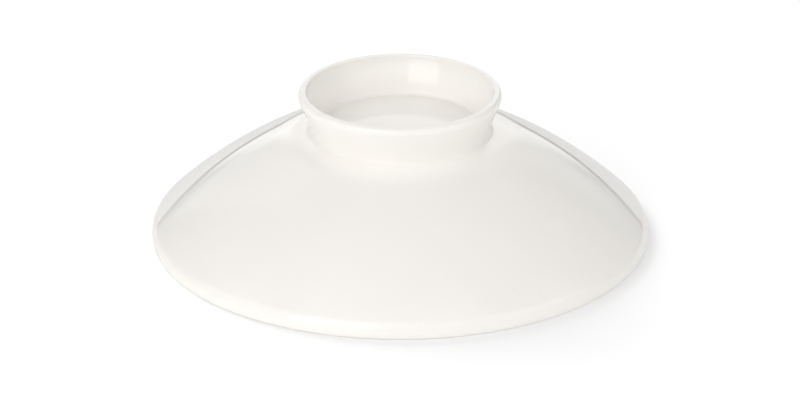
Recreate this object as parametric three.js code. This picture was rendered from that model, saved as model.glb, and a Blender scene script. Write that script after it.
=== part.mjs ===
// Domed porcelain lid with an open ring for a handle. Millimetres, +Z up.
// The origin is the centre of the foot plane, where the rim of the lid rests on a table.
//
// Two clay parts, formed apart, joined with slip and glazed together:
//   lid_shell    the dome: crown, long even slope, tight shoulder and rounded rim
//   ring_handle  the flared ring that the fingers grip, standing round the crown
// Both are surfaces of revolution about Z. A profile is a list of (radius, height) points,
// and it runs anticlockwise round the clay, so that the turned faces look outwards.

import * as THREE from "three";

// ---- driving dimensions ----------------------------------------------------------------

const SEGMENTS = 60; // facets round the axis

const LID_RADIUS = 65; // the widest circle of the lid
const TOTAL_HEIGHT = 40.35; // foot plane to the top of the ring
const SHELL_WALL = 2.2; // thickness of the dome, square to its surface

// rim
const WIDEST_Z = 1.3; // height of the widest circle above the foot
const FOOT_OUTER = 64.6; // flat foot, wiped clean of glaze
const FOOT_INNER = 63.4;
const RIM_INNER_ROUND = 1.1; // height of the rounding on the inside of the foot

// outside of the dome
const SHOULDER_ARC = 4.55; // from the vertical rim onto the slope
const SHOULDER_TURN = 46.2; // degrees that the shoulder turns through
const SLOPE_ARC = 130.4; // the long slope
const CROWN_ARC = 104; // the crown inside the ring, centred on the axis
const CROWN_Z = 32.5; // height of the crown at the axis
const BLEND_OUTER = 32.5; // slope and crown run into each other
const BLEND_INNER = 21; // between these two radii

// ring
const NECK_RADIUS = 23.7; // outside, just above the foot
const BORE_RADIUS = 21.9; // inside, just above the foot
const LIP_OUTER = 26.4; // the lip, at its widest
const LIP_INNER = 24.4;
const LIP_WIDEST_Z = 38.9;
const FLARE_START = 1.7; // how gradually the neck runs into the flare,
const FLARE_END = 0.9; // and the flare into the lip
const LIP_FLAT_OUTER = 25.3; // narrow flat on top of the lip
const LIP_FLAT_INNER = 24.7;
const OUTER_FILLET = 1.2; // neck to slope
const INNER_FILLET = 1.2; // bore to crown
const OUTER_FILLET_TURN = 44; // degrees of each fillet that belong to the ring:
const INNER_FILLET_TURN = 50; // the clay is not drawn out to a feather edge
const LUTE = 0.3; // layer of slip between ring and shell

// ---- helpers -----------------------------------------------------------------------------

const radians = THREE.MathUtils.degToRad;
const point = (r, z) => new THREE.Vector2(r, z);

// Evenly spaced numbers, both ends included.
function spaced(from, to, steps) {
  return Array.from({ length: steps + 1 }, (_, i) => from + ((to - from) * i) / steps);
}

// Points of a circular arc between two angles in degrees, measured from the radial direction.
function arc(centre, radius, from, to, steps) {
  return spaced(radians(from), radians(to), steps).map((angle) =>
    point(centre.x + radius * Math.cos(angle), centre.y + radius * Math.sin(angle)),
  );
}

// Points of a smooth curve that leaves a towards b and arrives at d from c.
function curve(a, b, c, d, steps) {
  return new THREE.CubicBezierCurve(a, b, c, d).getPoints(steps);
}

// Turns a closed profile about Z into a solid.
function turned(name, profile, colour) {
  const geometry = new THREE.LatheGeometry([...profile, profile[0]], SEGMENTS);
  geometry.rotateX(Math.PI / 2); // the lathe's own axis is Y
  const glaze = new THREE.MeshStandardMaterial({ color: colour, roughness: 0.12, metalness: 0 });
  const mesh = new THREE.Mesh(geometry, glaze);
  mesh.name = name;
  return mesh;
}

// ---- the dome's surface, and the surfaces that lie a given depth below it -----------------

const shoulderCentre = point(LID_RADIUS - SHOULDER_ARC, WIDEST_Z);
const slopeCentre = point(
  shoulderCentre.x + (SHOULDER_ARC - SLOPE_ARC) * Math.cos(radians(SHOULDER_TURN)),
  shoulderCentre.y + (SHOULDER_ARC - SLOPE_ARC) * Math.sin(radians(SHOULDER_TURN)),
);
const crownCentre = point(0, CROWN_Z - CROWN_ARC);

// Height of a circle's upper half at radius r.
function circleHeight(centre, radius, r) {
  return centre.y + Math.sqrt(radius ** 2 - (r - centre.x) ** 2);
}

// Height between the two: a cubic with the height and grade of the crown at one end, and of
// the slope at the other.
function blendHeight(r, depth) {
  const width = BLEND_OUTER - BLEND_INNER;
  const crownEnd = circleHeight(crownCentre, CROWN_ARC - depth, BLEND_INNER);
  const slopeEnd = circleHeight(slopeCentre, SLOPE_ARC - depth, BLEND_OUTER);
  const crownGrade = -(BLEND_INNER - crownCentre.x) / (crownEnd - crownCentre.y);
  const slopeGrade = -(BLEND_OUTER - slopeCentre.x) / (slopeEnd - slopeCentre.y);
  const t = (r - BLEND_INNER) / width;
  const rise = t * t * (3 - 2 * t);
  const nearCrown = t * (1 - t) ** 2 * width * crownGrade;
  const nearSlope = -t * t * (1 - t) * width * slopeGrade;
  return crownEnd * (1 - rise) + slopeEnd * rise + nearCrown + nearSlope;
}

function domeHeight(r, depth) {
  if (r <= BLEND_INNER) return circleHeight(crownCentre, CROWN_ARC - depth, r);
  if (r >= BLEND_OUTER) return circleHeight(slopeCentre, SLOPE_ARC - depth, r);
  return blendHeight(r, depth);
}

// From the widest circle, over the shoulder and the slope, up to the axis.
function domeLine(depth) {
  const shoulder = arc(shoulderCentre, SHOULDER_ARC - depth, 0, SHOULDER_TURN, 5);
  const slopeStart = shoulder[shoulder.length - 1].x;
  const radii = [
    ...spaced(slopeStart, BLEND_OUTER, 8).slice(1),
    ...spaced(BLEND_OUTER, BLEND_INNER, 6).slice(1),
    ...spaced(BLEND_INNER, 0, 4).slice(1),
  ];
  return [...shoulder, ...radii.map((r) => point(r, domeHeight(r, depth)))];
}

// ---- lid_shell -----------------------------------------------------------------------------

function lidShell() {
  const outside = domeLine(0);
  const inside = domeLine(SHELL_WALL).reverse();
  const innerWall = LID_RADIUS - SHELL_WALL;
  const outerRound = curve(
    point(FOOT_OUTER, 0),
    point(FOOT_OUTER + 0.25, 0),
    point(LID_RADIUS, WIDEST_Z * 0.5),
    point(LID_RADIUS, WIDEST_Z),
    3,
  );
  const innerRound = curve(
    point(innerWall, RIM_INNER_ROUND),
    point(innerWall, RIM_INNER_ROUND * 0.5),
    point(FOOT_INNER - 0.3, 0),
    point(FOOT_INNER, 0),
    3,
  );
  return turned("lid_shell", [...outerRound, ...outside.slice(1), ...inside, ...innerRound], 0xf6f3ec);
}

// ---- ring_handle -----------------------------------------------------------------------------

// Centre, at radius r, of the arc that touches the slip on the dome below it.
function filletCentre(r, radius) {
  return point(r, domeHeight(r, -LUTE - radius));
}

function ringHandle() {
  const outerCentre = filletCentre(NECK_RADIUS + OUTER_FILLET, OUTER_FILLET);
  const innerCentre = filletCentre(BORE_RADIUS - INNER_FILLET, INNER_FILLET);
  const outerFillet = arc(outerCentre, OUTER_FILLET, 180 + OUTER_FILLET_TURN, 180, 4);
  const innerFillet = arc(innerCentre, INNER_FILLET, 0, -INNER_FILLET_TURN, 4);
  const flare = curve(
    point(NECK_RADIUS, outerCentre.y),
    point(NECK_RADIUS, outerCentre.y + FLARE_START),
    point(LIP_OUTER, LIP_WIDEST_Z - FLARE_END),
    point(LIP_OUTER, LIP_WIDEST_Z),
    8,
  );
  const lipOuter = curve(
    point(LIP_OUTER, LIP_WIDEST_Z),
    point(LIP_OUTER, LIP_WIDEST_Z + 0.8),
    point(LIP_FLAT_OUTER + 0.6, TOTAL_HEIGHT),
    point(LIP_FLAT_OUTER, TOTAL_HEIGHT),
    4,
  );
  const lipInner = curve(
    point(LIP_FLAT_INNER, TOTAL_HEIGHT),
    point(LIP_FLAT_INNER - 0.2, TOTAL_HEIGHT),
    point(LIP_INNER, TOTAL_HEIGHT - 0.15),
    point(LIP_INNER, TOTAL_HEIGHT - 0.5),
    2,
  );
  const bore = curve(
    point(LIP_INNER, TOTAL_HEIGHT - 0.5),
    point(LIP_INNER - 0.3, TOTAL_HEIGHT - 2.8),
    point(BORE_RADIUS, innerCentre.y + 2.4),
    point(BORE_RADIUS, innerCentre.y),
    5,
  );
  const outerEdge = outerFillet[0].x;
  const innerEdge = innerFillet[innerFillet.length - 1].x;
  const foot = spaced(innerEdge, outerEdge, 3).map((r) => point(r, domeHeight(r, 0) + LUTE));
  const profile = [
    ...outerFillet,
    ...flare.slice(1),
    ...lipOuter.slice(1),
    ...lipInner,
    ...bore.slice(1),
    ...innerFillet.slice(1),
    ...foot,
  ];
  return turned("ring_handle", profile, 0xf6f3ec);
}

// ---- assembly ----------------------------------------------------------------------------------

const lid = new THREE.Group();
lid.add(lidShell());
lid.add(ringHandle());

export default lid;
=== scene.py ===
"""Looks for the domed porcelain lid: fine turned meshes, glaze, floor, studio light and camera."""
import math

import bmesh
import bpy
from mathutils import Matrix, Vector


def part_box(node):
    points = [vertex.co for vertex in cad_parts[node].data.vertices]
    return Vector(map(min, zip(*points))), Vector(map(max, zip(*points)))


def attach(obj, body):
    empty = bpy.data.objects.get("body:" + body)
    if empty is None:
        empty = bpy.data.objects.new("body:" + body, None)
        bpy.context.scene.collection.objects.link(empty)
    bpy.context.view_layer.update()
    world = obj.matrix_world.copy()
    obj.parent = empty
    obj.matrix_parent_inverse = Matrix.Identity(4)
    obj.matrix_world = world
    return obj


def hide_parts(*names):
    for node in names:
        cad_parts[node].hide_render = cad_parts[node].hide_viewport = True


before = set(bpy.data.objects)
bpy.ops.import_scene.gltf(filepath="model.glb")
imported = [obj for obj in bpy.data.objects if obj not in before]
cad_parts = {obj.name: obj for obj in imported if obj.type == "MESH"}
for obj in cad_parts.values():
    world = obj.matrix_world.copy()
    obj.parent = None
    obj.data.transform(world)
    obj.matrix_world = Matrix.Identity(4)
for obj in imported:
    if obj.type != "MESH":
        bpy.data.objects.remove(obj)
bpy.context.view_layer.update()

MM = 0.001
lid_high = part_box("lid_shell")[1]
ring_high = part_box("ring_handle")[1]
LID_RADIUS = lid_high.x / MM
CROWN_Z = lid_high.z / MM
LIP_OUTER = ring_high.x / MM
TOTAL_HEIGHT = ring_high.z / MM

# ---- camera --------------------------------------------------------------------------------------

FOCAL_LENGTH = 194.8  # millimetres, as is the sensor's width
SENSOR_WIDTH = 36.0
CAMERA_BACK = 15.946  # distance in front of the axis, in lid radii
CAMERA_UP = 7.236  # height above the foot plane, in lid radii
AIM_UP = 0.0987  # the camera looks at this height on the axis, in lid radii
FARTHEST_SEEN = 20.0  # metres


def make_camera():
    data = bpy.data.cameras.new("camera")
    data.lens = FOCAL_LENGTH
    data.sensor_width = SENSOR_WIDTH
    data.clip_end = FARTHEST_SEEN
    camera = bpy.data.objects.new("camera", data)
    bpy.context.scene.collection.objects.link(camera)
    camera.location = (0.0, -CAMERA_BACK * LID_RADIUS * MM, CAMERA_UP * LID_RADIUS * MM)
    aim = Vector((0.0, 0.0, AIM_UP * LID_RADIUS * MM))
    camera.rotation_euler = (aim - camera.location).to_track_quat("-Z", "Y").to_euler()
    bpy.context.scene.camera = camera


make_camera()

# ---- the turned profiles, in millimetres ---------------------------------------------------------

SHELL_WALL = 2.2
WIDEST_Z = 1.3
FOOT_OUTER = 64.6
FOOT_INNER = 63.4
RIM_OUTER_PULL = 0.25  # how far the rim's curves set off along the flat foot
RIM_INNER_PULL = 0.3
RIM_INNER_ROUND = 1.1
SHOULDER_ARC = 4.55
SHOULDER_TURN = 46.2  # degrees
SLOPE_ARC = 130.4
CROWN_ARC = 104.0
BLEND_OUTER = 32.5  # slope and crown run into each other between these two radii
BLEND_INNER = 21.0

NECK_RADIUS = 23.7
BORE_RADIUS = 21.9
LIP_INNER = 24.4
LIP_WIDEST_Z = 38.9
FLARE_START = 1.7
FLARE_END = 0.9
LIP_FLAT_OUTER = 25.3
LIP_FLAT_INNER = 24.7
LIP_OUTER_RISE = 0.8  # how far the lip's outer curve sets off upwards,
LIP_OUTER_PULL = 0.6  # and how far it runs in along the flat
LIP_INNER_DROP = 0.5  # the lip's inner curve ends this far below the top
LIP_INNER_RISE = 0.35
LIP_INNER_PULL = 0.2
BORE_TOP_LEAN = 0.3  # the control point that draws the bore inwards from the lip,
BORE_TOP_DROP = 2.8
BORE_FOOT_RISE = 2.4  # and the one that brings it upright above the fillet
OUTER_FILLET = 1.2
INNER_FILLET = 1.2
SEAM_DEPTH = 0.001  # how far a fillet's end lies under the dome
TUCK = 0.25  # beyond its fillets the ring dips under the dome: how far on,
TUCK_DEPTH = 0.02  # how deep there,
BURIED_INSET = 0.2  # and from how much farther in
BURIED_DEPTH = 0.5  # it lies this deep in the dome's clay

shoulder_centre = Vector((LID_RADIUS - SHOULDER_ARC, WIDEST_Z))
slope_centre = shoulder_centre + (SHOULDER_ARC - SLOPE_ARC) * Vector(
    (math.cos(math.radians(SHOULDER_TURN)), math.sin(math.radians(SHOULDER_TURN)))
)
crown_centre = Vector((0.0, CROWN_Z - CROWN_ARC))


def spaced(start, end, steps):
    return [start + (end - start) * i / steps for i in range(steps + 1)]


def arc(centre, radius, start, end, steps):
    return [
        centre + radius * Vector((math.cos(math.radians(a)), math.sin(math.radians(a))))
        for a in spaced(start, end, steps)
    ]


def curve(a, b, c, d, steps):
    a, b, c, d = Vector(a), Vector(b), Vector(c), Vector(d)
    return [
        a * (1 - t) ** 3 + b * 3 * t * (1 - t) ** 2 + c * 3 * t * t * (1 - t) + d * t ** 3
        for t in spaced(0.0, 1.0, steps)
    ]


def circle_height(centre, radius, r):
    return centre.y + math.sqrt(radius ** 2 - (r - centre.x) ** 2)


def blend_height(r, depth):
    width = BLEND_OUTER - BLEND_INNER
    crown_end = circle_height(crown_centre, CROWN_ARC - depth, BLEND_INNER)
    slope_end = circle_height(slope_centre, SLOPE_ARC - depth, BLEND_OUTER)
    crown_grade = -(BLEND_INNER - crown_centre.x) / (crown_end - crown_centre.y)
    slope_grade = -(BLEND_OUTER - slope_centre.x) / (slope_end - slope_centre.y)
    t = (r - BLEND_INNER) / width
    rise = t * t * (3 - 2 * t)
    return (
        crown_end * (1 - rise)
        + slope_end * rise
        + t * (1 - t) ** 2 * width * crown_grade
        - t * t * (1 - t) * width * slope_grade
    )


def dome_height(r, depth):
    if r <= BLEND_INNER:
        return circle_height(crown_centre, CROWN_ARC - depth, r)
    if r >= BLEND_OUTER:
        return circle_height(slope_centre, SLOPE_ARC - depth, r)
    return blend_height(r, depth)


def dome_line(depth):
    shoulder = arc(shoulder_centre, SHOULDER_ARC - depth, 0, SHOULDER_TURN, 20)
    radii = (
        spaced(shoulder[-1].x, BLEND_OUTER, 60)[1:]
        + spaced(BLEND_OUTER, BLEND_INNER, 16)[1:]
        + spaced(BLEND_INNER, 0.0, 24)[1:]
    )
    return shoulder + [Vector((r, dome_height(r, depth))) for r in radii]


def shell_profile():
    outside = dome_line(0.0)
    inside = dome_line(SHELL_WALL)[::-1]
    inner_wall = LID_RADIUS - SHELL_WALL
    outer_round = curve(
        (FOOT_OUTER, 0), (FOOT_OUTER + RIM_OUTER_PULL, 0),
        (LID_RADIUS, WIDEST_Z * 0.5), (LID_RADIUS, WIDEST_Z), 10,
    )
    inner_round = curve(
        (inner_wall, RIM_INNER_ROUND), (inner_wall, RIM_INNER_ROUND * 0.5),
        (FOOT_INNER - RIM_INNER_PULL, 0), (FOOT_INNER, 0), 10,
    )
    return outer_round + outside[1:] + inside + inner_round


def dome_normal(r):
    step = 0.01
    grade = (dome_height(r + step, 0.0) - dome_height(r - step, 0.0)) / (2 * step)
    return Vector((-grade, 1.0)).normalized()


def fillet(centre_r, radius, wall_angle, steps):
    """An arc from an upright wall down to the dome. It ends a hair under the dome, so that its last
    visible strip lies along the dome's own surface and no seam shows."""
    touch = centre_r
    for _ in range(30):
        touch = centre_r - radius * dome_normal(touch).x
    normal = dome_normal(touch)
    centre = Vector((touch, dome_height(touch, 0.0))) + normal * (radius - SEAM_DEPTH)
    end_angle = math.degrees(math.atan2(-normal.y, -normal.x))
    if wall_angle > 90:
        end_angle += 360
    return centre, arc(centre, radius, wall_angle, end_angle, steps)


def ring_profile():
    outer_centre, outer_fillet = fillet(NECK_RADIUS + OUTER_FILLET, OUTER_FILLET, 180, 36)
    inner_centre, inner_fillet = fillet(BORE_RADIUS - INNER_FILLET, INNER_FILLET, 0, 36)
    outer_fillet.reverse()
    flare = curve(
        (NECK_RADIUS, outer_centre.y), (NECK_RADIUS, outer_centre.y + FLARE_START),
        (LIP_OUTER, LIP_WIDEST_Z - FLARE_END), (LIP_OUTER, LIP_WIDEST_Z), 30,
    )
    lip_outer = curve(
        (LIP_OUTER, LIP_WIDEST_Z), (LIP_OUTER, LIP_WIDEST_Z + LIP_OUTER_RISE),
        (LIP_FLAT_OUTER + LIP_OUTER_PULL, TOTAL_HEIGHT), (LIP_FLAT_OUTER, TOTAL_HEIGHT), 16,
    )
    bore_top = TOTAL_HEIGHT - LIP_INNER_DROP
    lip_inner = curve(
        (LIP_FLAT_INNER, TOTAL_HEIGHT), (LIP_FLAT_INNER - LIP_INNER_PULL, TOTAL_HEIGHT),
        (LIP_INNER, bore_top + LIP_INNER_RISE), (LIP_INNER, bore_top), 10,
    )
    bore = curve(
        (LIP_INNER, bore_top), (LIP_INNER - BORE_TOP_LEAN, TOTAL_HEIGHT - BORE_TOP_DROP),
        (BORE_RADIUS, inner_centre.y + BORE_FOOT_RISE), (BORE_RADIUS, inner_centre.y), 30,
    )
    inner_end = inner_fillet[-1].x - TUCK
    outer_end = outer_fillet[0].x + TUCK
    buried = [
        Vector((r, dome_height(r, 0.0) - BURIED_DEPTH))
        for r in spaced(inner_end + BURIED_INSET, outer_end - BURIED_INSET, 10)
    ]
    buried.insert(0, Vector((inner_end, dome_height(inner_end, 0.0) - TUCK_DEPTH)))
    buried.append(Vector((outer_end, dome_height(outer_end, 0.0) - TUCK_DEPTH)))
    return (
        outer_fillet + flare[1:] + lip_outer[1:] + lip_inner + bore[1:] + inner_fillet[1:] + buried
    )


# ---- turning a profile into a mesh ---------------------------------------------------------------

SEGMENTS = 240
ON_AXIS = 1e-6  # a smaller radius is the axis itself


def turned(name, profile):
    mesh = bpy.data.meshes.new(name)
    bm = bmesh.new()
    rings = []
    for p in profile:
        if p.x < ON_AXIS:
            rings.append([bm.verts.new((0.0, 0.0, p.y * MM))])
            continue
        rings.append([
            bm.verts.new((
                p.x * MM * math.cos(2 * math.pi * k / SEGMENTS),
                p.x * MM * math.sin(2 * math.pi * k / SEGMENTS),
                p.y * MM,
            ))
            for k in range(SEGMENTS)
        ])
    for lower, upper in zip(rings, rings[1:] + rings[:1]):
        if len(lower) == 1 and len(upper) == 1:
            continue
        for k in range(SEGMENTS):
            n = (k + 1) % SEGMENTS
            if len(lower) == 1:
                bm.faces.new((lower[0], upper[n], upper[k]))
            elif len(upper) == 1:
                bm.faces.new((lower[k], lower[n], upper[0]))
            else:
                bm.faces.new((lower[k], lower[n], upper[n], upper[k]))
    for face in bm.faces:
        face.smooth = True
    bm.to_mesh(mesh)
    bm.free()
    obj = bpy.data.objects.new(name, mesh)
    bpy.context.scene.collection.objects.link(obj)
    return obj


# ---- wiring node trees ---------------------------------------------------------------------------

class Graph:
    """Short calls for the arithmetic of a node tree."""

    def __init__(self, tree):
        self.nodes, self.links = tree.nodes, tree.links

    def feed(self, socket, value):
        if isinstance(value, bpy.types.NodeSocket):
            self.links.new(value, socket)
        else:
            socket.default_value = value

    def math(self, operation, *values):
        node = self.nodes.new("ShaderNodeMath")
        node.operation = operation
        for socket, value in zip(node.inputs, values):
            self.feed(socket, value)
        return node.outputs[0]

    def step(self, value, low, high, at_low=0.0, at_high=1.0):
        """at_low up to low, at_high from high on, smooth between."""
        node = self.nodes.new("ShaderNodeMapRange")
        node.interpolation_type = "SMOOTHSTEP"
        self.feed(node.inputs["Value"], value)
        node.inputs["From Min"].default_value = low
        node.inputs["From Max"].default_value = high
        node.inputs["To Min"].default_value = at_low
        node.inputs["To Max"].default_value = at_high
        return node.outputs["Result"]

    def separate(self, vector):
        node = self.nodes.new("ShaderNodeSeparateXYZ")
        self.links.new(vector, node.inputs[0])
        return node.outputs

    def noise(self, position, feature, detail=1.0):
        """Smooth noise, 0 to 1, with features about the given size in millimetres."""
        node = self.nodes.new("ShaderNodeTexNoise")
        self.links.new(position, node.inputs["Vector"])
        node.inputs["Scale"].default_value = 1 / (feature * MM)
        node.inputs["Detail"].default_value = detail
        return node.outputs["Fac"]

    def mix(self, factor, first, second):
        node = self.nodes.new("ShaderNodeMix")
        node.data_type = "RGBA"
        self.feed(node.inputs["Factor"], factor)
        for socket, colour in zip(node.inputs[6:8], (first, second)):
            self.feed(socket, colour if isinstance(colour, bpy.types.NodeSocket) else (*colour, 1.0))
        return node.outputs[2]

    def bump(self, height, depth, normal=None):
        """Relief from a 0 to 1 height, the given depth in millimetres."""
        node = self.nodes.new("ShaderNodeBump")
        self.feed(node.inputs["Height"], height)
        node.inputs["Distance"].default_value = depth * MM
        if normal is not None:
            self.links.new(normal, node.inputs["Normal"])
        return node.outputs["Normal"]


# ---- materials -----------------------------------------------------------------------------------

GLAZE = (0.928, 0.902, 0.861)
GLAZE_COOL = (0.918, 0.894, 0.857)
GLAZE_THICK = (0.905, 0.880, 0.832)
GLAZE_THIN = (0.940, 0.922, 0.885)
BISCUIT = (0.875, 0.85, 0.80)
SPECK = (0.36, 0.28, 0.21)

# sizes in millimetres
TINT_SIZE = 24.0  # of the patches where the glaze is cooler
POOL_CORE = 0.3  # the glaze pools this close to the crease round the ring,
POOL_REACH = 1.6  # and is even again from here on
POOL_STRENGTH = 0.6  # a strength is a share, 0 to 1
LIP_THIN = 0.7  # height of the lip over which the glaze runs thin
LIP_THIN_STRENGTH = 0.6
SPECK_GAP = 8.0  # between the points that specks grow from
SPECK_RADIUS = 0.14
SPECK_STRENGTH = 0.5
FOOT_WANDER = 0.3  # up to this much is added to the height, so that the bare foot's edge wanders:
BARE_BELOW = 0.20  # all is bare where the sum is below this,
GLAZED_ABOVE = 0.30  # and glazed where it is above this
FOOT_WANDER_SIZE = 1.5
BARE_ROUGHER = 0.6  # added to the roughness, which has no unit
SMOOTHEST = 0.018  # roughness of the glaze
DULLEST = 0.034
GLOSS_SIZE = 9.0
WAVE_SIZE = 5.0  # slow waves in the glaze,
WAVE_DEPTH = 0.007
PEEL_SIZE = 1.2  # a fine orange peel
PEEL_DEPTH = 0.0007
GRAIN_SIZE = 0.12  # and the grain of the bare foot
GRAIN_DEPTH = 0.03


def distance_from_crease(g, radius, height):
    across = g.math("SUBTRACT", radius, NECK_RADIUS * MM)
    up = g.math("SUBTRACT", height, dome_height(NECK_RADIUS, 0.0) * MM)
    return g.math("SQRT", g.math("ADD", g.math("POWER", across, 2.0), g.math("POWER", up, 2.0)))


def glaze_colour(g, position, radius, height, bare):
    colour = g.mix(g.step(g.noise(position, TINT_SIZE, 2.0), 0.35, 0.65), GLAZE, GLAZE_COOL)
    # the glaze runs thick into the crease round the ring and thin over its lip
    crease = distance_from_crease(g, radius, height)
    pooled = g.step(crease, POOL_CORE * MM, POOL_REACH * MM, POOL_STRENGTH, 0.0)
    colour = g.mix(pooled, colour, GLAZE_THICK)
    lip = g.step(height, (TOTAL_HEIGHT - LIP_THIN) * MM, TOTAL_HEIGHT * MM, 0.0, LIP_THIN_STRENGTH)
    colour = g.mix(lip, colour, GLAZE_THIN)
    # a few iron specks under the glaze
    cells = g.nodes.new("ShaderNodeTexVoronoi")
    g.links.new(position, cells.inputs["Vector"])
    cells.inputs["Scale"].default_value = 1 / (SPECK_GAP * MM)
    reach = SPECK_RADIUS / SPECK_GAP
    speck = g.step(cells.outputs["Distance"], reach * 0.5, reach, SPECK_STRENGTH, 0.0)
    colour = g.mix(speck, colour, SPECK)
    return g.mix(bare, colour, BISCUIT)


def porcelain(name):
    """Clear glossy glaze over a warm white body, wiped off the foot rim that it stands on."""
    material = bpy.data.materials.new(name)
    material.use_nodes = True
    g = Graph(material.node_tree)
    shader = g.nodes["Principled BSDF"]
    shader.inputs["IOR"].default_value = 1.5
    position = g.nodes.new("ShaderNodeTexCoord").outputs["Object"]
    x, y, height = g.separate(position)
    radius = g.math("SQRT", g.math("ADD", g.math("POWER", x, 2.0), g.math("POWER", y, 2.0)))

    wander = g.noise(position, FOOT_WANDER_SIZE, 2.0)
    ragged = g.math("MULTIPLY_ADD", wander, FOOT_WANDER * MM, height)
    bare = g.step(ragged, BARE_BELOW * MM, GLAZED_ABOVE * MM, 1.0, 0.0)
    g.links.new(glaze_colour(g, position, radius, height, bare), shader.inputs["Base Color"])

    gloss = g.step(g.noise(position, GLOSS_SIZE, 3.0), 0.3, 0.7, SMOOTHEST, DULLEST)
    roughness = g.math("MULTIPLY_ADD", bare, BARE_ROUGHER, gloss)
    g.links.new(roughness, shader.inputs["Roughness"])

    waves = g.bump(g.noise(position, WAVE_SIZE), WAVE_DEPTH)
    peel = g.bump(g.noise(position, PEEL_SIZE), PEEL_DEPTH, waves)
    grain = g.math("MULTIPLY", g.noise(position, GRAIN_SIZE, 3.0), bare)
    g.links.new(g.bump(grain, GRAIN_DEPTH, peel), shader.inputs["Normal"])
    return material


def plain(name, grey, glow):
    material = bpy.data.materials.new(name)
    material.use_nodes = True
    shader = material.node_tree.nodes["Principled BSDF"]
    shader.inputs["Base Color"].default_value = (grey, grey, grey, 1.0)
    shader.inputs["Roughness"].default_value = 1.0
    shader.inputs["Specular IOR Level"].default_value = 0.0
    shader.inputs["Emission Color"].default_value = (1.0, 1.0, 1.0, 1.0)
    shader.inputs["Emission Strength"].default_value = glow
    return material


# ---- the two pieces ------------------------------------------------------------------------------

def piece(name, profile, cad_node, slot):
    obj = turned(name, profile)
    obj.data.materials.append(porcelain(slot))
    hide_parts(cad_node)
    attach(obj, "root")


piece("shell_glazed", shell_profile(), "lid_shell", "shell_glaze")
piece("ring_glazed", ring_profile(), "ring_handle", "ring_glaze")

# ---- floor ---------------------------------------------------------------------------------------

FLOOR_HALF = 12.0  # metres
FLOOR_Z = -0.0002
FLOOR_GREY = 0.8
FLOOR_GLOW = 0.176


def make_floor():
    mesh = bpy.data.meshes.new("floor")
    corners = [
        (x * FLOOR_HALF, y * FLOOR_HALF, FLOOR_Z) for x, y in ((-1, -1), (1, -1), (1, 1), (-1, 1))
    ]
    mesh.from_pydata(corners, [], [(0, 1, 2, 3)])
    mesh.materials.append(plain("floor_white", FLOOR_GREY, FLOOR_GLOW))
    obj = bpy.data.objects.new("floor", mesh)
    bpy.context.scene.collection.objects.link(obj)
    obj.visible_glossy = False  # the glaze mirrors the studio's own table instead
    return obj


floor = make_floor()

# ---- studio light --------------------------------------------------------------------------------
# The studio is a set of soft cards painted on the world. Azimuth is 0 towards the camera and positive
# to its right, elevation is 0 at the horizon, both in degrees.

HORIZON = 1.2
TABLE_EDGE_SOFT = 0.4
CARDS = {
    # name: azimuth, half width, lowest, highest, softness of the edge, lean, brightness
    "room": (170, 125, HORIZON, 55, 10, 0, 0.40),
    "ceiling": (0, 200, 55, 110, 8, 0, 0.26),
    "wash": (0, 100, 17, 46, 7, 0, 0.82),
    "front_top": (-5, 65, 46, 68, 8, 0, 0.60),
    "window": (-30.5, 19.5, 6, 48, 0.9, 0, 1.76),
    "left": (-80, 30, 14, 48, 10, 0, 0.12),
    "back": (180, 20, HORIZON, 50, 4, 0, 0.95),
    "screen": (-162.5, 10.5, 7, 50, 1.5, 0.54, 0.38),
    "back_right": (161, 14, 9, 50, 5, 0, 0.40),
    "table": (0, 200, -100, HORIZON, 0.4, 0, 0.795),
}
# a dark gap runs across the far edge of the table, lowest straight behind the lid
GAP_BEHIND = -5.2  # its elevation there,
GAP_RISE = 0.28  # how much it rises for each degree to the side,
GAP_HIGHEST = 2.5  # and how far
GAP_CORE = 0.7  # dark this far up and down from its middle,
GAP_FADE = 1.2  # and gone from here on
BACKGROUND = 1.05


def card(g, azimuth, elevation, at, half_width, low, high, soft, lean):
    """1 inside a card, 0 outside. Lean is its sideways shift for each degree up."""
    offset = g.math("SUBTRACT", azimuth, math.radians(at))
    offset = g.math("SUBTRACT", offset, g.math("MULTIPLY", elevation, lean))
    offset = g.math("ABSOLUTE", g.math("WRAP", offset, math.pi, -math.pi))
    across = g.step(
        offset, math.radians(half_width - soft), math.radians(half_width + soft), 1.0, 0.0
    )
    low_soft = TABLE_EDGE_SOFT if low == HORIZON else soft
    high_soft = TABLE_EDGE_SOFT if high == HORIZON else soft
    up = g.step(elevation, math.radians(low - low_soft), math.radians(low + low_soft))
    down = g.step(elevation, math.radians(high - high_soft), math.radians(high + high_soft), 1.0, 0.0)
    return g.math("MULTIPLY", across, g.math("MULTIPLY", up, down))


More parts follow.
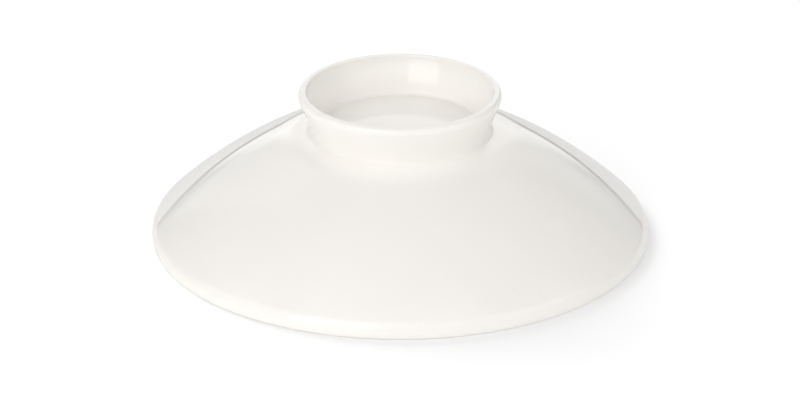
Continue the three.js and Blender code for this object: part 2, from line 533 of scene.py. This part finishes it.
def make_studio():
    world = bpy.data.worlds.new("studio")
    bpy.context.scene.world = world
    world.use_nodes = True
    g = Graph(world.node_tree)
    x, y, z = g.separate(g.nodes.new("ShaderNodeTexCoord").outputs["Generated"])
    elevation = g.math("ARCSINE", z)
    azimuth = g.math("ARCTAN2", x, g.math("MULTIPLY", y, -1.0))
    light = 0.0
    for *place, brightness in CARDS.values():
        part = g.math("MULTIPLY", card(g, azimuth, elevation, *place), brightness)
        light = g.math("ADD", part, light)

    from_back = g.math("SUBTRACT", math.pi, g.math("ABSOLUTE", azimuth))
    edge = g.math("MULTIPLY_ADD", from_back, GAP_RISE, math.radians(GAP_BEHIND))
    edge = g.math("MINIMUM", edge, math.radians(GAP_HIGHEST))
    off_edge = g.math("ABSOLUTE", g.math("SUBTRACT", elevation, edge))
    open_part = g.step(off_edge, math.radians(GAP_CORE), math.radians(GAP_FADE))
    light = g.math("MULTIPLY", light, open_part)

    # beyond the floor the camera itself sees plain white
    seen = g.nodes.new("ShaderNodeLightPath").outputs["Is Camera Ray"]
    unseen = g.math("SUBTRACT", 1.0, seen)
    backdrop = g.math("MULTIPLY", seen, BACKGROUND)
    light = g.math("ADD", g.math("MULTIPLY", light, unseen), backdrop)
    background = g.nodes["Background"]
    background.inputs["Color"].default_value = (1.0, 1.0, 1.0, 1.0)
    g.links.new(light, background.inputs["Strength"])


def soft_sun(name, azimuth, elevation, energy, spread):
    """A wide soft light from far away that the glaze doesn't mirror."""
    data = bpy.data.lights.new(name, "SUN")
    data.energy = energy
    data.angle = math.radians(spread)
    sun = bpy.data.objects.new(name, data)
    bpy.context.scene.collection.objects.link(sun)
    turn = math.radians(azimuth)
    tilt = math.radians(elevation)
    toward = Vector((math.sin(turn) * math.cos(tilt), -math.cos(turn) * math.cos(tilt), math.sin(tilt)))
    sun.rotation_euler = toward.to_track_quat("Z", "Y").to_euler()
    sun.visible_glossy = False
    return sun


def light_the_floor():
    """The lid's shadow lies on the floor, and this light leaves the lid itself alone."""
    sun = soft_sun("floor_key", azimuth=-143, elevation=34, energy=1.22, spread=30)
    lit = bpy.data.collections.new("lit_by_floor_key")
    lit.objects.link(floor)
    sun.light_linking.receiver_collection = lit


make_studio()
light_the_floor()
soft_sun("fill_front", azimuth=0, elevation=32, energy=0.21, spread=60)
soft_sun("fill_left", azimuth=-65, elevation=32, energy=0.23, spread=60)
soft_sun("fill_right", azimuth=65, elevation=32, energy=0.28, spread=60)
bpy.context.scene.view_settings.view_transform = "Standard"
